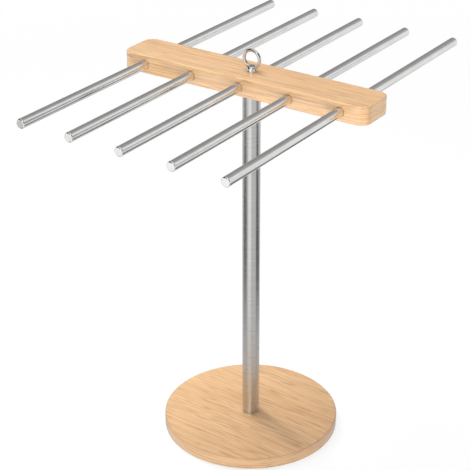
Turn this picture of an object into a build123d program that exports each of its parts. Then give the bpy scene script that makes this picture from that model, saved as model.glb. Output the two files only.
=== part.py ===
# Pasta drying rack: a round wooden base, a steel post, a wooden crossbar with five steel arms
# on each long face, and a carrying ring on top.
# Millimetres, +Z up. The origin is on the ground under the middle of the base.
# X runs along the crossbar and Y along the arms.

import os
from math import atan, degrees

from build123d import *

# Fits and the overrun of cuts
running_fit = 0.08  # radial, where pieces turn or slide
snug_fit = 0.05  # radial, where pieces stay put
screw_clearance = 0.3  # radial, screw in its through hole
cut_overrun = 1.0

# Base
base_diameter = 195.0
base_thickness = 13.0
base_edge_round = 1.2
base_seat_depth = 3.0  # seat for the post's foot

# Anti-slip pads under the base
pad_count = 4
pad_diameter = 14.0
pad_thickness = 1.2
pad_edge_round = 0.4
pad_inset = 17.5  # from the base's rim to a pad's centre

# Post
post_diameter = 19.0
post_wall = 1.5
post_rise = 390.0  # from the base's top to the crossbar's underside
post_edge_chamfer = 0.4
plug_length = 18.0
plug_edge_chamfer = 0.6

# Thread of the screw under the base and of the eye bolt
thread_diameter = 6.0
thread_grip = 15.0  # thread inside a plug
thread_end_chamfer = 0.8

# Screw and washer under the base
screw_head_diameter = 10.5
screw_head_height = 3.3
screw_head_round = 0.9
screw_key_width = 4.0
screw_key_depth = 2.0
washer_diameter = 18.0
washer_thickness = 1.6
washer_edge_chamfer = 0.2
recess_gap = 3.0  # radial, round the washer
recess_setback = 0.6  # screw head above the base's underside

# Crossbar
bar_length = 295.0
bar_depth = 50.0
bar_height = 20.0
bar_corner_radius = 12.0
bar_edge_round = 2.0
bar_seat_depth = 3.0  # seat for the post's head

# Arms
arms_per_side = 5
arm_end_margin = 29.5  # from the crossbar's end to the first arm's axis
arm_diameter = 10.0
arm_reach = 195.0  # from the crossbar's face to the tip
arm_tip_chamfer = 0.9
arm_lead_chamfer = 0.6  # on the end inside the crossbar
socket_depth = 15.0
socket_end_gap = 0.3
socket_mouth_chamfer = 0.15

# Eye bolt
ring_centreline_diameter = 18.4
ring_wire_diameter = 3.5
ring_sink = 1.95  # lowest point of the ring's centreline below the collar's top
collar_foot_diameter = 12.2
collar_top_diameter = 10.4
collar_height = 5.6
collar_edge_round = 1.6

# Heights
base_bottom = pad_thickness
base_top = base_bottom + base_thickness
post_bottom = base_top - base_seat_depth
bar_bottom = base_top + post_rise
bar_middle = bar_bottom + bar_height / 2
bar_top = bar_bottom + bar_height
post_top = bar_bottom + bar_seat_depth
recess_depth = washer_thickness + screw_head_height + recess_setback
washer_bottom = base_bottom + recess_setback + screw_head_height

# Widths
plug_radius = post_diameter / 2 - post_wall - snug_fit
tapped_radius = thread_diameter / 2 + snug_fit
recess_radius = washer_diameter / 2 + recess_gap
pad_circle_radius = base_diameter / 2 - pad_inset

# Places of the arms along the crossbar
arm_pitch = (bar_length - 2 * arm_end_margin) / (arms_per_side - 1)
arm_places = [index * arm_pitch + arm_end_margin - bar_length / 2 for index in range(arms_per_side)]
arm_length = arm_reach + socket_depth - socket_end_gap
sides = {"front": -1, "back": 1}

os.makedirs("parts", exist_ok=True)


def save(part, label):
    part.label = label
    export_step(part, f"parts/{label}.step")


# Base disc, with the post's seat on top and the screw's recess below
with BuildPart() as base_disc:
    with BuildSketch(Plane.XY.offset(base_bottom)):
        Circle(base_diameter / 2)
    extrude(amount=base_thickness)
    fillet(base_disc.edges().filter_by(GeomType.CIRCLE), base_edge_round)
    with Locations((0, 0, base_top)):
        CounterBoreHole(
            radius=thread_diameter / 2 + screw_clearance,
            counter_bore_radius=post_diameter / 2 + snug_fit,
            counter_bore_depth=base_seat_depth,
        )
    with BuildSketch(Plane.XY.offset(base_bottom)):
        Circle(recess_radius)
    extrude(amount=recess_depth, mode=Mode.SUBTRACT)
save(base_disc.part, "base_disc")


# Pads, evenly round the base between the X and Y axes
def make_pad(angle):
    with BuildPart() as pad:
        with BuildSketch():
            with PolarLocations(pad_circle_radius, 1, start_angle=angle):
                Circle(pad_diameter / 2)
        extrude(amount=pad_thickness)
        fillet(pad.edges().group_by(Axis.Z)[0], pad_edge_round)
    return pad.part


for index in range(pad_count):
    save(make_pad((index + 1 / 2) * 360 / pad_count), f"foot_pad_{index + 1}")

# Washer in the recess
with BuildPart() as base_washer:
    with BuildSketch(Plane.XY.offset(washer_bottom)):
        Circle(washer_diameter / 2)
        Circle(thread_diameter / 2 + screw_clearance, mode=Mode.SUBTRACT)
    extrude(amount=washer_thickness)
    chamfer(base_washer.edges().filter_by(GeomType.CIRCLE).group_by(SortBy.RADIUS)[-1], washer_edge_chamfer)
save(base_washer.part, "base_washer")

# Button-head screw, from the recess up into the post's lower plug
with BuildPart() as base_screw:
    with BuildSketch(Plane.XY.offset(washer_bottom)):
        Circle(screw_head_diameter / 2)
    extrude(amount=-screw_head_height)
    fillet(base_screw.edges().group_by(Axis.Z)[0], screw_head_round)
    with BuildSketch(Plane.XY.offset(washer_bottom - screw_head_height)):
        RegularPolygon(screw_key_width / 2, 6, major_radius=False)
    extrude(amount=screw_key_depth, mode=Mode.SUBTRACT)
    with BuildSketch(Plane.XY.offset(washer_bottom)):
        Circle(thread_diameter / 2)
    extrude(amount=post_bottom + thread_grip - washer_bottom)
    chamfer(base_screw.edges().group_by(Axis.Z)[-1], thread_end_chamfer)
save(base_screw.part, "base_screw")

# Post
with BuildPart() as post_tube:
    with BuildSketch(Plane.XY.offset(post_bottom)):
        Circle(post_diameter / 2)
        Circle(post_diameter / 2 - post_wall, mode=Mode.SUBTRACT)
    extrude(amount=post_top - post_bottom)
    chamfer(post_tube.edges().filter_by(GeomType.CIRCLE).group_by(SortBy.RADIUS)[-1], post_edge_chamfer)
save(post_tube.part, "post_tube")


# Threaded plugs, flush with the post's two ends
def make_plug(bottom):
    with BuildPart() as plug:
        with BuildSketch(Plane.XY.offset(bottom)):
            Circle(plug_radius)
            Circle(tapped_radius, mode=Mode.SUBTRACT)
        extrude(amount=plug_length)
        chamfer(plug.edges().filter_by(GeomType.CIRCLE).group_by(SortBy.RADIUS)[-1], plug_edge_chamfer)
    return plug.part


save(make_plug(post_bottom), "post_bottom_plug")
save(make_plug(post_top - plug_length), "post_top_plug")

# Crossbar, with a socket for each arm, the post's seat below and the eye bolt's bore
socket_mouths = [
    Plane(origin=(x, side * bar_depth / 2, bar_middle), x_dir=(1, 0, 0), z_dir=(0, side, 0))
    for side in sides.values()
    for x in arm_places
]
with BuildPart() as crossbar:
    with BuildSketch(Plane.XY.offset(bar_bottom)):
        RectangleRounded(bar_length, bar_depth, bar_corner_radius)
    extrude(amount=bar_height)
    rims = crossbar.edges().group_by(Axis.Z)
    fillet(rims[0] + rims[-1], bar_edge_round)
    with Locations(*socket_mouths):
        CounterSinkHole(
            radius=arm_diameter / 2 + running_fit,
            counter_sink_radius=arm_diameter / 2 + running_fit + socket_mouth_chamfer,
            depth=socket_depth,
            counter_sink_angle=90,
        )
    with Locations(Plane(origin=(0, 0, bar_bottom), z_dir=(0, 0, -1))):
        CounterBoreHole(
            radius=thread_diameter / 2 + running_fit,
            counter_bore_radius=post_diameter / 2 + running_fit,
            counter_bore_depth=bar_seat_depth,
            depth=bar_height + cut_overrun,
        )
save(crossbar.part, "crossbar")


# Arms: straight rods, each pushed into its socket
def make_arm(x, side):
    inner_end = side * (bar_depth / 2 - socket_depth + socket_end_gap)
    start = Plane(origin=(x, inner_end, bar_middle), x_dir=(1, 0, 0), z_dir=(0, side, 0))
    with BuildPart() as arm:
        with BuildSketch(start):
            Circle(arm_diameter / 2)
        extrude(amount=arm_length)
        ends = arm.edges().filter_by(GeomType.CIRCLE).sort_by(Axis.Y)
        tip, lead = (ends[0], ends[-1]) if side < 0 else (ends[-1], ends[0])
        chamfer(tip, arm_tip_chamfer)
        chamfer(lead, arm_lead_chamfer)
    return arm.part


for side_name, side in sides.items():
    for index, x in enumerate(arm_places):
        save(make_arm(x, side), f"arm_{side_name}_{index + 1}")

# Eye bolt: a ring that stands in the plane of the crossbar, a collar, and a stud into the post
ring_radius = ring_centreline_diameter / 2
ring_middle = bar_top + collar_height - ring_sink + ring_radius
collar_taper = degrees(atan((collar_foot_diameter - collar_top_diameter) / 2 / collar_height))
with BuildPart() as eye_bolt:
    with BuildSketch(Plane.XY.offset(bar_top)):
        Circle(collar_foot_diameter / 2)
    extrude(amount=collar_height, taper=collar_taper)
    fillet(eye_bolt.edges().group_by(Axis.Z)[-1], collar_edge_round)
    with BuildSketch(Plane.XY.offset(bar_top)):
        Circle(thread_diameter / 2)
    extrude(amount=post_top - thread_grip - bar_top)
    chamfer(eye_bolt.edges().group_by(Axis.Z)[0], thread_end_chamfer)
    with BuildSketch(Plane.XY.offset(ring_middle)):
        with Locations((ring_radius, 0)):
            Circle(ring_wire_diameter / 2)
    revolve(axis=Axis((0, 0, ring_middle), (0, 1, 0)))
save(eye_bolt.part, "eye_bolt")
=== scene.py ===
# Pasta drying rack: lacquered hardwood base and crossbar, brushed post, polished arms and eye bolt.
# Metres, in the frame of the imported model: Z up, X along the crossbar, Y along the arms.
import math
import bpy
from mathutils import Matrix, Vector


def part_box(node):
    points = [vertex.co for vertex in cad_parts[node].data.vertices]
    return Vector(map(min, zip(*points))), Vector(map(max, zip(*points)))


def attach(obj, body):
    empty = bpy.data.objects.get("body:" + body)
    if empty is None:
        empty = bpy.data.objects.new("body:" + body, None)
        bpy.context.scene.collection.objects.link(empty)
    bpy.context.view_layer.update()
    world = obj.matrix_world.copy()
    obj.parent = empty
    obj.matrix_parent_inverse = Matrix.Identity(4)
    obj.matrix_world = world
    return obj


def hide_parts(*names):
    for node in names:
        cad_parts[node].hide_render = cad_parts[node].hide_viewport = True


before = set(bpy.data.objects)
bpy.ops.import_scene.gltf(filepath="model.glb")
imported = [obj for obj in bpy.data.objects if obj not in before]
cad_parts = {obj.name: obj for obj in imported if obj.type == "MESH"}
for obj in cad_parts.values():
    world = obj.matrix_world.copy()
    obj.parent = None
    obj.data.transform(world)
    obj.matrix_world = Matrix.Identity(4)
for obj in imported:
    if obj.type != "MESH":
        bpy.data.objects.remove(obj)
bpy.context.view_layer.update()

mm = 0.001
touch = 0.01 * mm  # how close a point counts as lying on an edge or a face
levelFace = 0.9  # a face whose normal's Z passes this lies level
scene = bpy.context.scene
scene.view_settings.view_transform = "Standard"
print("frame loaded")


# Small helpers for working on one mesh at a time

def clearSelection():
    if bpy.context.mode != "OBJECT":
        bpy.ops.object.mode_set(mode="OBJECT")
    bpy.ops.object.select_all(action="DESELECT")


def activate(piece):
    clearSelection()
    piece.select_set(True)
    bpy.context.view_layer.objects.active = piece


def newPiece(name):  # names the primitive that was just added
    piece = bpy.context.active_object
    piece.name = piece.data.name = name
    return piece


def editFaces(piece, wanted):  # enters edit mode with the faces that wanted() accepts
    activate(piece)
    bpy.context.tool_settings.mesh_select_mode = (False, False, True)
    for part in (*piece.data.vertices, *piece.data.edges):
        part.select = False
    for face in piece.data.polygons:
        face.select = wanted(face)
    bpy.ops.object.mode_set(mode="EDIT")


def editEdges(piece, wanted):  # the same for edges; wanted() gets the edge's two ends
    activate(piece)
    bpy.context.tool_settings.mesh_select_mode = (False, True, False)
    mesh = piece.data
    for part in (*mesh.vertices, *mesh.polygons):
        part.select = False
    for edge in mesh.edges:
        edge.select = wanted(*(mesh.vertices[i].co for i in edge.vertices))
    bpy.ops.object.mode_set(mode="EDIT")


def bevelEdges(piece, wanted, size, steps, profile=0.5):
    editEdges(piece, wanted)
    bpy.ops.mesh.bevel(offset=size, segments=steps, profile=profile)
    bpy.ops.object.mode_set(mode="OBJECT")


def settle(piece, smoothAngle=35):  # place into the mesh, faces outwards, smooth shading
    activate(piece)
    bpy.ops.object.transform_apply(location=True, rotation=True, scale=True)
    bpy.ops.object.mode_set(mode="EDIT")
    bpy.ops.mesh.select_all(action="SELECT")
    bpy.ops.mesh.remove_doubles(threshold=0.001 * mm)
    bpy.ops.mesh.normals_make_consistent(inside=False)
    bpy.ops.object.mode_set(mode="OBJECT")
    bpy.ops.object.shade_smooth_by_angle(angle=math.radians(smoothAngle))


def addCylinder(name, facets, radius, bottom, top, centre=(0, 0)):  # upright, between two heights
    clearSelection()
    bpy.ops.mesh.primitive_cylinder_add(vertices=facets, radius=radius, depth=top - bottom,
                                        location=(*centre, (bottom + top) / 2))
    piece = newPiece(name)
    settle(piece)
    return piece


def radial(point, centre=(0, 0)):
    return math.hypot(point.x - centre[0], point.y - centre[1])


def isRing(a, b, radius):  # a level edge at this distance from the Z axis
    return abs(a.z - b.z) < touch and max(abs(radial(a) - radius), abs(radial(b) - radius)) < touch


def boreThrough(piece, radius, bore):  # opens an upright cylinder from end to end
    editFaces(piece, lambda face: abs(face.normal.z) > levelFace)
    bpy.ops.mesh.inset(thickness=radius - bore)
    bpy.ops.mesh.delete(type="ONLY_FACE")
    bpy.ops.object.mode_set(mode="OBJECT")
    editEdges(piece, lambda a, b: isRing(a, b, bore))
    bpy.ops.mesh.bridge_edge_loops()
    bpy.ops.object.mode_set(mode="OBJECT")


def applyModifiers(piece):
    activate(piece)
    for modifier in list(piece.modifiers):
        bpy.ops.object.modifier_apply(modifier=modifier.name)


def joinPieces(name, pieces):
    clearSelection()
    for piece in pieces:
        piece.select_set(True)
    bpy.context.view_layer.objects.active = pieces[0]
    bpy.ops.object.join()
    return newPiece(name)


def copyPiece(pattern, node):  # a copy with a mesh of its own, named after the CAD node it stands for
    piece = pattern.copy()
    piece.data = pattern.data.copy()
    scene.collection.objects.link(piece)
    piece.name = piece.data.name = node.title().replace("_", "")
    return piece


# Camera: the photograph's viewing angle and framing

cameraSettings = {
    "azimuth": 33.48,
    "elevation": 26.88,
    "roll": 0.19,
    "distance": 1.5943,
    "aim": (0, 0, 0.2371),
    "focalPixels": 1485.3,
    "framePixels": 470,
    "centreOffsetPixels": 16.3,
    "sensor": 36,
    "clip": (0.05, 50),
}


def makeCamera():
    s = cameraSettings
    turn, tilt = math.radians(s["azimuth"]), math.radians(s["elevation"])
    back = Vector((math.sin(turn) * math.cos(tilt), -math.cos(turn) * math.cos(tilt), math.sin(tilt)))
    bpy.ops.object.camera_add(location=Vector(s["aim"]) + back * s["distance"])
    camera = bpy.context.active_object
    camera.name = "camera"
    aim = (-back).to_track_quat("-Z", "Y").to_matrix()
    aim = aim @ Matrix.Rotation(math.radians(s["roll"]), 3, "Z")
    camera.rotation_euler = aim.to_euler()
    camera.data.sensor_width = s["sensor"]
    camera.data.lens = s["focalPixels"] / s["framePixels"] * s["sensor"]
    camera.data.shift_x = -s["centreOffsetPixels"] / s["framePixels"]
    camera.data.clip_start, camera.data.clip_end = s["clip"]
    scene.camera = camera


makeCamera()
print("camera placed")


# Shared shader parts

def feed(tree, value, socket):  # a node's output is linked, a plain value is set
    if isinstance(value, bpy.types.NodeSocket):
        tree.links.new(value, socket)
    elif value is not None:
        socket.default_value = value


def addNode(tree, kind, **settings):  # settings name the node's inputs or its own properties
    node = tree.nodes.new(kind)
    for key, value in settings.items():
        if key in node.inputs:
            feed(tree, value, node.inputs[key])
        else:
            setattr(node, key, value)
    return node


def addMath(tree, operation, first, second=None):
    node = addNode(tree, "ShaderNodeMath", operation=operation)
    feed(tree, first, node.inputs[0])
    feed(tree, second, node.inputs[1])
    return node.outputs[0]


def addSum(tree, first, second):
    return addMath(tree, "ADD", first, second)


def addProduct(tree, first, second):
    return addMath(tree, "MULTIPLY", first, second)


def addLength(tree, first, second):  # of the flat vector with these two parts
    squares = [addMath(tree, "POWER", part, 2.0) for part in (first, second)]
    return addMath(tree, "SQRT", addSum(tree, *squares))


def addBlend(tree, share, first, second):  # of two numbers: first where share is 0, second where it is 1
    return addSum(tree, addProduct(tree, share, addMath(tree, "SUBTRACT", second, first)), first)


mixSockets = {"RGBA": (0, 6, 7, 2), "VECTOR": (0, 4, 5, 1)}  # share, first, second, and the result


def addMix(tree, share, first, second, kind="RGBA"):  # the same for two colours or vectors
    node = addNode(tree, "ShaderNodeMix", data_type=kind)
    *inputs, result = mixSockets[kind]
    for index, value in zip(inputs, (share, first, second)):
        feed(tree, value, node.inputs[index])
    return node.outputs[result]


def addNoise(tree, coords, repeats, detail=3.0, roughness=0.5, distortion=0.0):  # repeats per metre
    mapping = addNode(tree, "ShaderNodeMapping", Vector=coords, Scale=repeats)
    noise = addNode(tree, "ShaderNodeTexNoise", Vector=mapping.outputs[0], Scale=1.0, Detail=detail,
                    Roughness=roughness, Distortion=distortion)
    return noise.outputs[0]


def addRange(tree, value, low, high, toLow=0.0, toHigh=1.0):  # a soft step between low and high
    node = addNode(tree, "ShaderNodeMapRange", interpolation_type="SMOOTHSTEP", Value=value,
                   **{"From Min": low, "From Max": high, "To Min": toLow, "To Max": toHigh})
    return node.outputs["Result"]


def newGroup(name, inputs, outputs):
    group = bpy.data.node_groups.new(name, "ShaderNodeTree")
    for socketName, kind, value in inputs:
        socket = group.interface.new_socket(socketName, in_out="INPUT", socket_type=kind)
        if value is not None:
            socket.default_value = value
    for socketName, kind in outputs:
        group.interface.new_socket(socketName, in_out="OUTPUT", socket_type=kind)
    return group, group.nodes.new("NodeGroupInput"), group.nodes.new("NodeGroupOutput")


usualNoise = (0.3, 0.7)  # the values that most of a noise lies between

grainNoises = {  # repeats per metre along, across and through the board, then detail, roughness, distortion
    "wander": ((2.2, 9, 9), 2.5),
    "coarse": ((8, 420, 420), 5, 0.68, 0.25),
    "fine": ((22, 1300, 1300), 1, 0.4),
    "lines": ((9, 700, 700), 2, 0.55, 0.1),
    "flecks": ((40, 760, 760), 1, 0.4),
    "where": ((12, 160, 160), 2),  # the patches that have flecks
    "clouds": ((5, 38, 38), 3, 0.55),
}

fibreShares = {"coarse": 0.65, "fine": 0.35}

grainRanges = {  # the part of each pattern that its mask fades in over
    "rise": (0.15, 0.86),
    "fall": (0.86, 0.99),
    "fibres": (0.34, 0.68),
    "lines": (0.53, 0.64),
    "flecks": (0.57, 0.67),
    "where": (0.38, 0.58),
    "clouds": (0.3, 0.72),
}


def makeGrainGroup():  # straight hardwood grain along X, with rings round a pith below the board
    group, start, end = newGroup(
        "woodGrain",
        [("Coords", "NodeSocketVector", None), ("Pith Depth", "NodeSocketFloat", 0.11),
         ("Pith Side", "NodeSocketFloat", 0.02), ("Ring Step", "NodeSocketFloat", 0.004),
         ("Ring Wander", "NodeSocketFloat", 0.006)],
        [("Rings", "NodeSocketFloat"), ("Fibres", "NodeSocketFloat"), ("Streaks", "NodeSocketFloat"),
         ("Pores", "NodeSocketFloat"), ("Clouds", "NodeSocketFloat")])
    given, ranges = start.outputs, grainRanges
    noises = {name: addNoise(group, given["Coords"], *values) for name, values in grainNoises.items()}
    _, y, z = addNode(group, "ShaderNodeSeparateXYZ", Vector=given["Coords"]).outputs
    reach = addLength(group, addSum(group, y, given["Pith Side"]), addSum(group, z, given["Pith Depth"]))
    wander = addProduct(group, addMath(group, "SUBTRACT", noises["wander"], 0.5), given["Ring Wander"])
    turns = addMath(group, "DIVIDE", addSum(group, reach, wander), given["Ring Step"])
    phase = addMath(group, "FRACT", turns)
    fibres = addSum(group, *(addProduct(group, noises[name], share) for name, share in fibreShares.items()))
    masks = {
        "Rings": addProduct(group, addRange(group, phase, *ranges["rise"]),
                            addRange(group, phase, *ranges["fall"], 1.0, 0.0)),
        "Fibres": addRange(group, fibres, *ranges["fibres"]),
        "Streaks": addRange(group, noises["lines"], *ranges["lines"]),
        "Pores": addProduct(group, addRange(group, noises["flecks"], *ranges["flecks"]),
                            addRange(group, noises["where"], *ranges["where"])),
        "Clouds": addRange(group, noises["clouds"], *ranges["clouds"]),
    }
    for name, mask in masks.items():
        group.links.new(mask, end.inputs[name])
    return group


scuffSettings = {
    "wipes": ((34, 34, 34), 4, 0.6), "wipeRange": (0.42, 0.72),
    "dust": ((420, 1260, 420), 3, 0.7, 0.8), "dustRange": (0.5, 0.8),
}


def makeScuffGroup():  # faint wipe marks and dust that break up a clean gloss
    s = scuffSettings
    group, start, end = newGroup(
        "handlingMarks",
        [("Coords", "NodeSocketVector", None), ("Amount", "NodeSocketFloat", 0.5)],
        [("Roughness Shift", "NodeSocketFloat")])
    coords = start.outputs["Coords"]
    wipes = addRange(group, addNoise(group, coords, *s["wipes"]), *s["wipeRange"])
    dust = addRange(group, addNoise(group, coords, *s["dust"]), *s["dustRange"])
    shift = addProduct(group, addSum(group, wipes, dust), start.outputs["Amount"])
    group.links.new(shift, end.inputs["Roughness Shift"])
    return group


grainGroup = makeGrainGroup()
scuffGroup = makeScuffGroup()


def newMaterial(name, **settings):  # a Principled material, its tree, its shader and its Object coordinates
    material = bpy.data.materials.new(name)
    material.use_nodes = True
    tree = material.node_tree
    shader = tree.nodes["Principled BSDF"]
    for key, value in settings.items():
        shader.inputs[key].default_value = value
    coords = addNode(tree, "ShaderNodeTexCoord").outputs["Object"]
    return material, tree, shader, coords


def addBump(tree, shader, height, distance, strength):
    bump = addNode(tree, "ShaderNodeBump", Strength=strength, Distance=distance, Height=height)
    tree.links.new(bump.outputs[0], shader.inputs["Normal"])


def addRoughness(tree, shader, coords, level, marks):  # the level, broken up by handling marks
    scuffs = addNode(tree, "ShaderNodeGroup", node_tree=scuffGroup, Coords=coords, Amount=marks)
    tree.links.new(addSum(tree, level, scuffs.outputs[0]), shader.inputs["Roughness"])


# Wood: one lacquered hardwood, cut and toned differently for the base and the crossbar

woodColours = {
    "early": (0.89, 0.54, 0.265),
    "late": (0.72, 0.395, 0.175),
    "pale": (0.95, 0.62, 0.33),
    "fibre": (0.66, 0.37, 0.17),
    "streak": (0.55, 0.305, 0.15),
    "pore": (0.36, 0.20, 0.09),
}

lacquer = {"Coat Weight": 1.0, "Coat Roughness": 0.03, "Coat IOR": 1.8, "Specular IOR Level": 0.3}

woodSurface = {"roughness": (0.36, 0.46), "marks": 0.06, "fibreDepth": 0.4, "bump": (0.06 * mm, 0.5)}

baseFinish = {
    "grain": {"Pith Depth": 0.045, "Pith Side": 0.012, "Ring Step": 0.0052, "Ring Wander": 0.012},
    "Rings": 0.24, "Fibres": 0.5, "Streaks": 0.72, "Pores": 0.62,  # how strongly each shows
    "tone": 0.715,
    "turn": math.radians(2.7),  # the grain isn't quite in line with the crossbar
    "shift": (0.31, 0.02, 0),  # where the board is cut
    "edge": 1.2 * mm,
    "arris": 0.6, "arrisFrom": (1.3, 0.8), "arrisTo": (0.4, 0.15),  # painted shade along the rim's arris, darker there as a shading line; its reach is given in widths of the edge
}

barFinish = {
    "grain": {"Pith Depth": -0.34, "Pith Side": 0.03, "Ring Step": 0.0036, "Ring Wander": 0.006},
    "Rings": 0.14, "Fibres": 0.62, "Streaks": 0.62, "Pores": 0.6,
    "tone": 0.9,
    "turn": 0.0,
    "shift": (0, 0, 0),
    "edge": 2.0 * mm,
}


def wrapRim(tree, coords, s):  # on the base's rim the grain runs round; the second result masks the painted shade along its arris
    radius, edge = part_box("base_disc")[1].x, s["edge"]
    x, y, z = addNode(tree, "ShaderNodeSeparateXYZ", Vector=coords).outputs
    reach = addLength(tree, x, y)
    along = addProduct(tree, addMath(tree, "ARCTAN2", y, x), radius)
    wrapped = addNode(tree, "ShaderNodeCombineXYZ", X=along, Y=z, Z=reach)
    onRim = addRange(tree, reach, radius - edge, radius - edge / 2)
    inner = addRange(tree, reach, *(radius - edge * share for share in s["arrisFrom"]))
    outer = addRange(tree, reach, *(radius - edge * share for share in s["arrisTo"]), 1.0, 0.0)
    return addMix(tree, onRim, coords, wrapped.outputs[0], "VECTOR"), addProduct(tree, inner, outer)


def wrapWalls(tree, coords, s):  # the grain turns with the crossbar's walls at both ends
    (low, high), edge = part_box("crossbar"), s["edge"]
    x, y, z = addNode(tree, "ShaderNodeSeparateXYZ", Vector=coords).outputs
    along = addSum(tree, x, addMath(tree, "SUBTRACT", y, low.y))
    turned = addNode(tree, "ShaderNodeCombineXYZ", X=along, Y=low.y, Z=z)
    onWall = addProduct(tree, addRange(tree, z, low.z + edge / 2, low.z + edge),
                        addRange(tree, z, high.z - edge, high.z - edge / 2, 1.0, 0.0))
    return addMix(tree, onWall, coords, turned.outputs[0], "VECTOR"), None


def makeWood(name, finish, wrap):
    s = {**woodSurface, **finish}
    material, tree, shader, coords = newMaterial(name, **lacquer)
    turned = addNode(tree, "ShaderNodeMapping", Vector=coords, Rotation=(0, 0, s["turn"]))
    wrapped, arris = wrap(tree, turned.outputs[0], s)
    cut = addNode(tree, "ShaderNodeMapping", Vector=wrapped, Location=s["shift"])
    grain = addNode(tree, "ShaderNodeGroup", node_tree=grainGroup, Coords=cut.outputs[0], **s["grain"])
    layers = grain.outputs
    colours = {key: tuple(v * s["tone"] for v in value) + (1,) for key, value in woodColours.items()}
    colour = addMix(tree, layers["Clouds"], colours["early"], colours["pale"])
    for layer, tint in (("Rings", "late"), ("Fibres", "fibre"), ("Streaks", "streak"), ("Pores", "pore")):
        colour = addMix(tree, addProduct(tree, layers[layer], s[layer]), colour, colours[tint])
    # Painted shade: the base's arris is darkened towards the streak colour, standing in for the shading line
    # at that edge.
    if arris:
        colour = addMix(tree, addProduct(tree, arris, s["arris"]), colour, colours["streak"])
    tree.links.new(colour, shader.inputs["Base Color"])
    level = addRange(tree, layers["Fibres"], 0.0, 1.0, *s["roughness"])
    addRoughness(tree, shader, coords, level, s["marks"])
    sunken = addProduct(tree, layers["Fibres"], -s["fibreDepth"])
    addBump(tree, shader, addMath(tree, "SUBTRACT", sunken, layers["Pores"]), *s["bump"])
    return material


baseWood = makeWood("baseWood", baseFinish, wrapRim)
barWood = makeWood("barWood", barFinish, wrapWalls)


# Steel and rubber

polishSettings = {
    "clouds": (60, 60, 60), "cloudTone": 0.93,  # faint darker clouds
    "lineRoughness": 0.7, "dullness": (-0.02, 0.03), "marks": 0.05, "bump": (0.002 * mm, 0.2),
}

steelFinishes = {  # lines: repeats per metre of the fine polishing lines
    "rodSteel": {"colour": (0.80, 0.795, 0.79), "roughness": 0.12, "lines": (700, 20, 700)},
    "ringSteel": {"colour": (0.70, 0.69, 0.675), "roughness": 0.06, "lines": (900, 900, 900)},
    "screwSteel": {"colour": (0.56, 0.56, 0.54), "roughness": 0.3, "lines": (400, 400, 3000)},
}


def makePolishedSteel(name):
    s = {**polishSettings, **steelFinishes[name]}
    material, tree, shader, coords = newMaterial(name, Metallic=1.0)
    cloud = addRange(tree, addNoise(tree, coords, s["clouds"]), *usualNoise)
    darker = tuple(v * s["cloudTone"] for v in s["colour"])
    tree.links.new(addMix(tree, cloud, (*s["colour"], 1), (*darker, 1)), shader.inputs["Base Color"])
    lines = addNoise(tree, coords, s["lines"], roughness=s["lineRoughness"])
    level = addRange(tree, lines, *usualNoise, *(s["roughness"] + shift for shift in s["dullness"]))
    addRoughness(tree, shader, coords, level, s["marks"])
    addBump(tree, shader, lines, *s["bump"])
    return material


rodSteel, ringSteel, screwSteel = (makePolishedSteel(name) for name in steelFinishes)

postFinish = {
    "dark": (0.60, 0.595, 0.58, 1),
    "light": (0.74, 0.735, 0.725, 1),
    "lines": ((25, 25, 1500), 5, 0.75), "lineShare": 0.6,
    "bands": ((10, 10, 420), 2), "bandShare": 0.4,
    "roughness": (0.19, 0.26), "marks": 0.03, "bump": (0.008 * mm, 0.5),
    "shine": {"Metallic": 1.0, "Anisotropic": 0.97, "Anisotropic Rotation": 0.25},
}


def makeBrushedSteel(name):  # belt marks run round the tube
    s = postFinish
    material, tree, shader, coords = newMaterial(name, **s["shine"])
    around = addNode(tree, "ShaderNodeTangent", direction_type="RADIAL", axis="Z")
    tree.links.new(around.outputs[0], shader.inputs["Tangent"])
    lines, bands = (addNoise(tree, coords, *s[key]) for key in ("lines", "bands"))
    mixed = addSum(tree, addProduct(tree, lines, s["lineShare"]), addProduct(tree, bands, s["bandShare"]))
    tone = addMix(tree, addRange(tree, mixed, *usualNoise), s["dark"], s["light"])
    tree.links.new(tone, shader.inputs["Base Color"])
    addRoughness(tree, shader, coords, addRange(tree, lines, *usualNoise, *s["roughness"]), s["marks"])
    addBump(tree, shader, lines, *s["bump"])
    return material


postSteel = makeBrushedSteel("postSteel")

rubberFinish = {
    "dark": (0.028, 0.026, 0.024, 1),
    "light": (0.055, 0.052, 0.048, 1),
    "speck": ((1400, 1400, 1400), 3, 0.7), "speckRange": (0.35, 0.65),
    "roughness": 0.7, "marks": 0.12, "bump": (0.08 * mm, 0.6),
}


def makeRubber(name):
    s = rubberFinish
    material, tree, shader, coords = newMaterial(name)
    speck = addNoise(tree, coords, *s["speck"])
    tone = addMix(tree, addRange(tree, speck, *s["speckRange"]), s["dark"], s["light"])
    tree.links.new(tone, shader.inputs["Base Color"])
    addRoughness(tree, shader, coords, s["roughness"], s["marks"])
    addBump(tree, shader, speck, *s["bump"])
    return material


padRubber = makeRubber("padRubber")
print("materials made")


def dress(piece, material):
    piece.data.materials.clear()
    piece.data.materials.append(material)


def dressNode(node, material):  # a carried-over CAD node keeps its mesh and gets a finish
    dress(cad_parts[node], material)


def place(piece, node, body, material):  # the piece stands for a CAD node on its body
    dress(piece, material)
    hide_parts(node)
    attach(piece, body)


# Arms: polished rods with chamfered, slightly rounded ends

armSettings = {
    "facets": 96,
    "tipChamfer": 0.9 * mm,
    "leadChamfer": 0.6 * mm,
    "chamferSteps": 3,
    "crispness": 0.35,
}


def makeArm(name, low, high):  # a front arm, with its tip at the low end of Y
    s = armSettings
    clearSelection()
    bpy.ops.mesh.primitive_cylinder_add(vertices=s["facets"], radius=(high.x - low.x) / 2,
                                        depth=high.y - low.y, location=(low + high) / 2,
                                        rotation=(math.radians(90), 0, 0))
    arm = newPiece(name)
    settle(arm)
    for endY, size in ((low.y, s["tipChamfer"]), (high.y, s["leadChamfer"])):
        bevelEdges(arm, lambda a, b: max(abs(a.y - endY), abs(b.y - endY)) < touch,
                   size, s["chamferSteps"], s["crispness"])
    settle(arm, smoothAngle=25)
    return arm


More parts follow.
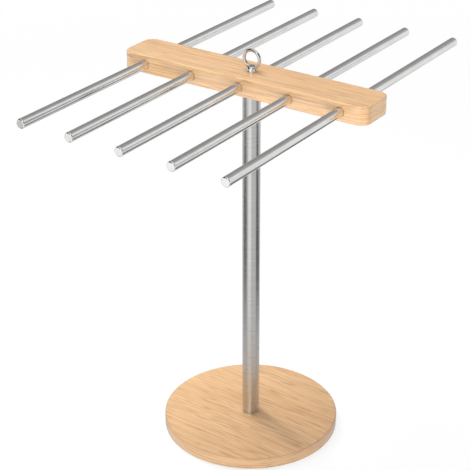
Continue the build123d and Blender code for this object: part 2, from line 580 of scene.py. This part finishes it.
def makeArms():
    pattern = makeArm("armPattern", *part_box("arm_front_1"))
    for node in sorted(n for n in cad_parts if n.startswith("arm_")):
        arm = copyPiece(pattern, node)
        if "back" in node:
            arm.data.transform(Matrix.Rotation(math.radians(180), 4, "Z"))
        lowest = Vector(min(v.co[i] for v in arm.data.vertices) for i in range(3))
        arm.data.transform(Matrix.Translation(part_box(node)[0] - lowest))
        place(arm, node, node, rodSteel)
    bpy.data.objects.remove(pattern)


makeArms()
print("arms made")


# Post: a tube with its bore open at both ends

postSettings = {"facets": 128, "wall": 1.5 * mm, "edge": 0.4 * mm, "edgeSteps": 3}


def makePost():
    s = postSettings
    low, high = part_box("post_tube")
    post = addCylinder("PostTube", s["facets"], high.x, low.z, high.z)
    boreThrough(post, high.x, high.x - s["wall"])
    bevelEdges(post, lambda a, b: isRing(a, b, high.x), s["edge"], s["edgeSteps"])
    settle(post, smoothAngle=25)
    place(post, "post_tube", "base", postSteel)


makePost()
print("post made")


# Threads: one profile wound up by a Screw modifier and cut flat at both ends

threadSettings = {"facets": 48, "depth": 0.54, "crest": 0.12}  # depth and crest as shares of the pitch


def makeThread(name, outer, pitch, bottom, top):
    s = threadSettings
    depth, crest = pitch * s["depth"], pitch * s["crest"]
    slope = pitch / 2 - crest * 1.5
    profile = [(0, crest), (depth, slope), (0, crest), (-depth, slope), (0, crest)]  # steps out and up
    clearSelection()
    bpy.ops.mesh.primitive_plane_add(size=pitch, location=(outer - depth, 0, bottom - pitch))
    thread = newPiece(name)
    bpy.ops.object.transform_apply(location=True)
    bpy.ops.object.mode_set(mode="EDIT")
    bpy.ops.mesh.select_all(action="SELECT")
    bpy.ops.mesh.merge(type="CENTER")
    for out, up in profile:
        bpy.ops.mesh.extrude_vertices_move(TRANSFORM_OT_translate={"value": (out, 0, up)})
    bpy.ops.object.mode_set(mode="OBJECT")
    wind = thread.modifiers.new("wind", "SCREW")
    wind.screw_offset, wind.iterations, wind.axis = pitch, math.ceil((top - bottom) / pitch) + 2, "Z"
    wind.steps = wind.render_steps = s["facets"]
    wind.use_merge_vertices = True
    applyModifiers(thread)
    for height, keepAbove in ((bottom, True), (top, False)):
        bpy.ops.object.mode_set(mode="EDIT")
        bpy.ops.mesh.select_all(action="SELECT")
        bpy.ops.mesh.remove_doubles(threshold=0.001 * mm)
        bpy.ops.mesh.bisect(plane_co=(0, 0, height), plane_no=(0, 0, 1), use_fill=True,
                            clear_inner=keepAbove, clear_outer=not keepAbove)
        bpy.ops.object.mode_set(mode="OBJECT")
    settle(thread, smoothAngle=30)
    return thread


# Eye bolt: ring and collar welded into one, on a threaded stud

eyeSettings = {
    "wire": 3.5 * mm, "ringFacets": 128, "wireFacets": 40,
    "collarFoot": 12.2 * mm, "collarTop": 10.4 * mm, "collarHeight": 5.6 * mm, "collarFacets": 96,
    "shoulder": 1.6 * mm, "footEdge": 0.3 * mm, "edgeSteps": 6,
    "voxel": 0.12 * mm, "weldFactor": 0.5, "weldRounds": 3,
    "stud": 6.0 * mm, "studFacets": 64, "studEdge": 0.5 * mm, "overlap": 1.0 * mm,  # of stud and collar
    "grip": 15.0 * mm, "runout": 1.5 * mm, "pitch": 1.0 * mm,
}


def makeEyeHead(low, high, barTop):
    s = eyeSettings
    ringRadius = (high.x - low.x - s["wire"]) / 2
    clearSelection()
    bpy.ops.mesh.primitive_torus_add(major_radius=ringRadius, minor_radius=s["wire"] / 2,
                                     major_segments=s["ringFacets"], minor_segments=s["wireFacets"],
                                     location=(0, 0, high.z - s["wire"] / 2 - ringRadius),
                                     rotation=(math.radians(90), 0, 0))
    ring = newPiece("ringPart")
    clearSelection()
    bpy.ops.mesh.primitive_cone_add(vertices=s["collarFacets"], radius1=s["collarFoot"] / 2,
                                    radius2=s["collarTop"] / 2, depth=s["collarHeight"],
                                    location=(0, 0, barTop + s["collarHeight"] / 2))
    collar = newPiece("collarPart")
    settle(collar)
    collarTop = barTop + s["collarHeight"]
    bevelEdges(collar, lambda a, b: min(a.z, b.z) > collarTop - touch, s["shoulder"], s["edgeSteps"])
    bevelEdges(collar, lambda a, b: max(a.z, b.z) < barTop + touch, s["footEdge"], s["edgeSteps"])
    head = joinPieces("eyeHeadPart", [ring, collar])
    weld = head.modifiers.new("weld", "REMESH")
    weld.mode, weld.voxel_size = "VOXEL", s["voxel"]
    soften = head.modifiers.new("soften", "SMOOTH")
    soften.factor, soften.iterations = s["weldFactor"], s["weldRounds"]
    applyModifiers(head)
    settle(head, smoothAngle=60)
    return head


def makeStud(bottom, barTop):  # thread below, plain shank above
    s = eyeSettings
    threadTop = bottom + s["grip"] + s["runout"]
    shank = addCylinder("shankPart", s["studFacets"], s["stud"] / 2, threadTop, barTop + s["overlap"])
    bevelEdges(shank, lambda a, b: max(a.z, b.z) < threadTop + touch, s["studEdge"], 1)
    settle(shank, smoothAngle=30)
    return shank, makeThread("threadPart", s["stud"] / 2, s["pitch"], bottom, threadTop + s["studEdge"])


def makeEyeBolt():
    low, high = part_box("eye_bolt")
    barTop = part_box("crossbar")[1].z
    bolt = joinPieces("EyeBolt", [makeEyeHead(low, high, barTop), *makeStud(low.z, barTop)])
    place(bolt, "eye_bolt", "eye_bolt", ringSteel)


makeEyeBolt()
print("eye bolt made")


# Screw, washer and pads under the base

screwSettings = {
    "head": 10.5 * mm, "headHeight": 3.3 * mm, "headRound": 1.6 * mm, "headFacets": 96, "edgeSteps": 6,
    "key": 4.0 * mm, "keyDepth": 2.0 * mm,
    "shank": 6.0 * mm, "pitch": 1.0 * mm, "overlap": 0.5 * mm,  # of thread and head
}


def makeBaseScrew():
    s = screwSettings
    low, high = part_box("base_screw")
    headTop = low.z + s["headHeight"]
    head = addCylinder("headPart", s["headFacets"], s["head"] / 2, low.z, headTop)
    bevelEdges(head, lambda a, b: max(a.z, b.z) < low.z + touch, s["headRound"], s["edgeSteps"])
    settle(head, smoothAngle=40)
    key = addCylinder("keyPart", 6, s["key"] / math.sqrt(3), low.z - s["keyDepth"], low.z + s["keyDepth"])
    cut = head.modifiers.new("key", "BOOLEAN")
    cut.operation, cut.object, cut.solver = "DIFFERENCE", key, "EXACT"
    applyModifiers(head)
    bpy.data.objects.remove(key)
    thread = makeThread("screwThreadPart", s["shank"] / 2, s["pitch"], headTop - s["overlap"], high.z)
    screw = joinPieces("BaseScrew", [head, thread])
    activate(screw)
    bpy.ops.object.shade_smooth_by_angle(angle=math.radians(30))
    place(screw, "base_screw", "base", screwSteel)


washerSettings = {"facets": 96, "hole": 6.6 * mm, "edge": 0.25 * mm, "edgeSteps": 3}


def makeWasher():
    s = washerSettings
    low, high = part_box("base_washer")
    washer = addCylinder("BaseWasher", s["facets"], high.x, low.z, high.z)
    boreThrough(washer, high.x, s["hole"] / 2)
    bevelEdges(washer, lambda a, b: isRing(a, b, high.x), s["edge"], s["edgeSteps"])
    settle(washer, smoothAngle=30)
    place(washer, "base_washer", "base", screwSteel)


padSettings = {"facets": 64, "rim": 0.4 * mm, "rimSteps": 4, "dish": 0.25 * mm, "dishInset": 2.2 * mm}


def makePads():
    s = padSettings
    low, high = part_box("foot_pad_1")
    middle, radius = ((low + high) / 2).xy, (high.x - low.x) / 2
    pattern = addCylinder("padPattern", s["facets"], radius, low.z, high.z, middle)
    editFaces(pattern, lambda face: face.normal.z < -levelFace)  # a shallow dish, to grip by the rim
    bpy.ops.mesh.inset(thickness=s["dishInset"])
    bpy.ops.mesh.inset(thickness=s["dish"] * 2)
    bpy.ops.transform.translate(value=(0, 0, s["dish"]))
    bpy.ops.object.mode_set(mode="OBJECT")
    bevelEdges(pattern, lambda a, b: max(a.z, b.z) < low.z + touch
               and min(radial(a, middle), radial(b, middle)) > radius - touch, s["rim"], s["rimSteps"])
    settle(pattern, smoothAngle=40)
    for node in sorted(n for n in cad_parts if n.startswith("foot_pad_")):
        pad = copyPiece(pattern, node)
        pad.data.transform(Matrix.Translation(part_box(node)[0] - low))
        place(pad, node, "base", padRubber)
    bpy.data.objects.remove(pattern)


makeBaseScrew()
makeWasher()
makePads()
print("screw, washer and pads made")


# Carried-over CAD nodes

dressNode("base_disc", baseWood)
dressNode("crossbar", barWood)
dressNode("post_bottom_plug", screwSteel)
dressNode("post_top_plug", screwSteel)
print("frame nodes dressed")


# Studio: plain white to the camera, with bright and dark sides that only metal and lacquer mirror.
# Its levels of brightness go round the post, in degrees from +X. Reaches are metres from the post.

floorSettings = {
    "size": 14,
    "paper": {"Base Color": (0.86, 0.86, 0.86, 1), "Roughness": 0.9, "Specular IOR Level": 0.1},
    "cameraWhite": 0.8, "whiteReach": (0.5, 1.8),  # the camera sees paper near the post, plain white far off
    "footLevel": 0.64, "footReach": (0.24, 0.36),  # even round the post's foot
    "levels": [
        (-180, 0.66), (-173, 0.62), (-167, 0.12), (-160, 0.08), (-121, 0.08), (-111, 0.38), (-99, 0.92),
        (-84, 1.12), (-71, 1.12), (-58, 0.80), (-44, 0.66), (-1, 0.64), (7, 0.25), (15, 0.02), (33, 0.02),
        (41, 0.60), (62, 0.80), (105, 0.92), (120, 0.45), (165, 0.43), (180, 0.62)],
    # A dark wedge makes the lines down the post's right side and under the arms. Further out it has a gap
    # for the arms on the right.
    "wedge": [(-180, 1.0), (9, 1.0), (14, 0.0), (66, 0.0), (74, 1.0), (180, 1.0)],
    "wedgeReach": (0.46, 0.54),
    "outerWedge": [
        (-180, 1.0), (9, 1.0), (14, 0.0), (35, 0.0), (39, 1.0), (49, 1.0), (53, 0.0), (66, 0.0), (74, 1.0),
        (180, 1.0)],
    "outerWedgeReach": (0.70, 0.80),
    # The far floor is bright, but for a dark side that lines the arms' upper edges and the ring.
    "far": [(-180, 0.97), (96, 0.97), (104, 0.30), (142, 0.30), (152, 0.97), (180, 0.97)],
    "farReach": (1.15, 1.35),
    # It comes closer and is brighter where the arms' tips mirror it.
    "tips": [(-180, 0.0), (-131, 0.0), (-127, 1.0), (-102, 1.0), (-94, 0.0), (180, 0.0)],
    "tipLevel": 1.15, "tipReach": (0.84, 0.92),
}

roomSettings = {
    "fill": 0.6,  # soft light from all sides
    "levels": [
        (-180, 0.6), (-170, 0.6), (-164, 2.4), (-158, 2.4), (-153, 0.06), (-114, 0.06), (-98, 0.9),
        (-84, 1.6), (-68, 1.6), (-56, 0.75), (8, 0.65), (16, 0.10), (42, 0.10), (49, 0.95), (60, 0.95),
        (73, 0.45), (100, 0.38), (122, 0.30), (160, 0.43), (180, 0.6)],
    "dim": 0.06, "dimFrom": (0.16, 0.32), "dimDepth": (0.0, 0.3),  # the front, above a height
    "windowFrom": (0.02, 0.12), "windowTo": (0.42, 0.5),  # the part of the front that stays lit
    "behind": 0.04, "behindFrom": (0.89, 0.95),  # straight behind the rack
    "ceiling": 1.1, "ceilingFrom": (0.76, 0.86),
}

lampSettings = {
    "keySoftbox": {
        "spot": (-0.5, 0.1, 2.0), "aim": (0, 0, 0.2), "size": (1.1, 1.1), "power": 28.5, "spread": 180},
    "leftSoftbox": {
        "spot": (-0.75, 0.2, 0.6), "aim": (-0.2, 0.03, 0), "size": (0.4, 0.4), "power": 0.39, "spread": 17},
    "frontSoftbox": {
        "spot": (0.6, -1.5, 0.25), "aim": (0, 0, 0.15), "size": (2.2, 0.5), "power": 19, "spread": 180},
}


def addDirections(tree, vector):  # the vector's parts, and its direction round Z from 0 to 1
    x, y, z = addNode(tree, "ShaderNodeSeparateXYZ", Vector=vector).outputs
    return x, y, z, addSum(tree, addMath(tree, "DIVIDE", addMath(tree, "ARCTAN2", y, x), math.tau), 0.5)


def addLevels(tree, direction, levels):
    ramp = addNode(tree, "ShaderNodeValToRGB")
    tree.links.new(direction, ramp.inputs[0])
    stops = ramp.color_ramp.elements
    brightest = max(level for _, level in levels)
    for index, (degrees, level) in enumerate(levels):
        position = degrees / 360 + 0.5
        stop = stops[index] if index < 2 else stops.new(position)  # a new ramp has two stops
        stop.position = position
        stop.color = (level / brightest,) * 3 + (1,)
    return addProduct(tree, ramp.outputs["Color"], brightest)


def addRayKinds(tree):  # what the camera sees, and what is mirrored or seen through
    path = addNode(tree, "ShaderNodeLightPath").outputs
    return path["Is Camera Ray"], addMath(tree, "MAXIMUM", path["Is Glossy Ray"], path["Is Transmission Ray"])


def makeFloor():
    s = floorSettings
    clearSelection()
    bpy.ops.mesh.primitive_plane_add(size=s["size"], location=(0, 0, 0))
    floor = newPiece("studioFloor")
    bpy.ops.object.transform_apply(location=True, rotation=True, scale=True)
    material, tree, shader, coords = newMaterial("studioFloorPaper", **s["paper"])
    x, y, _, direction = addDirections(tree, coords)
    reach = addLength(tree, x, y)
    level, wedge, outerWedge, far, tips = (
        addLevels(tree, direction, s[key]) for key in ("levels", "wedge", "outerWedge", "far", "tips"))
    wedge = addBlend(tree, addRange(tree, reach, *s["wedgeReach"]), wedge, outerWedge)
    wedge = addBlend(tree, addRange(tree, reach, *s["outerWedgeReach"]), wedge, 1.0)
    level = addProduct(tree, level, wedge)
    level = addBlend(tree, addRange(tree, reach, *s["footReach"]), s["footLevel"], level)
    outside = addBlend(tree, tips, addRange(tree, reach, *s["farReach"]),
                       addRange(tree, reach, *s["tipReach"]))
    level = addBlend(tree, outside, level, addBlend(tree, tips, far, s["tipLevel"]))
    camera, mirrored = addRayKinds(tree)
    white = addRange(tree, reach, *s["whiteReach"], s["cameraWhite"], 1.0)
    glow = addNode(tree, "ShaderNodeEmission", Strength=addMath(tree, "MAXIMUM", camera, level))
    blend = addNode(tree, "ShaderNodeMixShader")
    share = addMath(tree, "MAXIMUM", addProduct(tree, camera, white), mirrored)
    for socket, value in zip(blend.inputs, (share, shader.outputs[0], glow.outputs[0])):
        tree.links.new(value, socket)
    tree.links.new(blend.outputs[0], tree.nodes["Material Output"].inputs["Surface"])
    dress(floor, material)


def makeWorld():
    s = roomSettings
    world = bpy.data.worlds.new("studioSurround")
    scene.world = world
    world.use_nodes = True
    tree = world.node_tree
    sky = tree.nodes["Background"]
    sky.inputs["Color"].default_value = (1, 1, 1, 1)
    x, y, z, direction = addDirections(tree, addNode(tree, "ShaderNodeTexCoord").outputs["Generated"])
    room = addLevels(tree, direction, s["levels"])
    front = addProduct(tree, addRange(tree, z, *s["dimFrom"]), addRange(tree, y, *s["dimDepth"], 1.0, 0.0))
    window = addProduct(tree, addRange(tree, x, *s["windowFrom"]),
                        addRange(tree, x, *s["windowTo"], 1.0, 0.0))
    room = addBlend(tree, addProduct(tree, front, addMath(tree, "SUBTRACT", 1.0, window)), room, s["dim"])
    room = addBlend(tree, addRange(tree, y, *s["behindFrom"]), room, s["behind"])
    room = addBlend(tree, addRange(tree, z, *s["ceilingFrom"]), room, s["ceiling"])
    camera, mirrored = addRayKinds(tree)
    level = addBlend(tree, mirrored, s["fill"], room)
    tree.links.new(addMath(tree, "MAXIMUM", level, camera), sky.inputs["Strength"])


def addLamp(name):
    s = lampSettings[name]
    bpy.ops.object.light_add(type="AREA", location=s["spot"])
    lamp = bpy.context.active_object
    lamp.name = name
    lamp.data.shape = "RECTANGLE"
    lamp.data.size, lamp.data.size_y = s["size"]
    lamp.data.energy = s["power"]
    lamp.data.spread = math.radians(s["spread"])
    lamp.rotation_euler = (Vector(s["aim"]) - Vector(s["spot"])).to_track_quat("-Z", "Y").to_euler()
    lamp.visible_glossy = lamp.visible_camera = False


makeFloor()
makeWorld()
for lampName in lampSettings:
    addLamp(lampName)
print("studio lit")
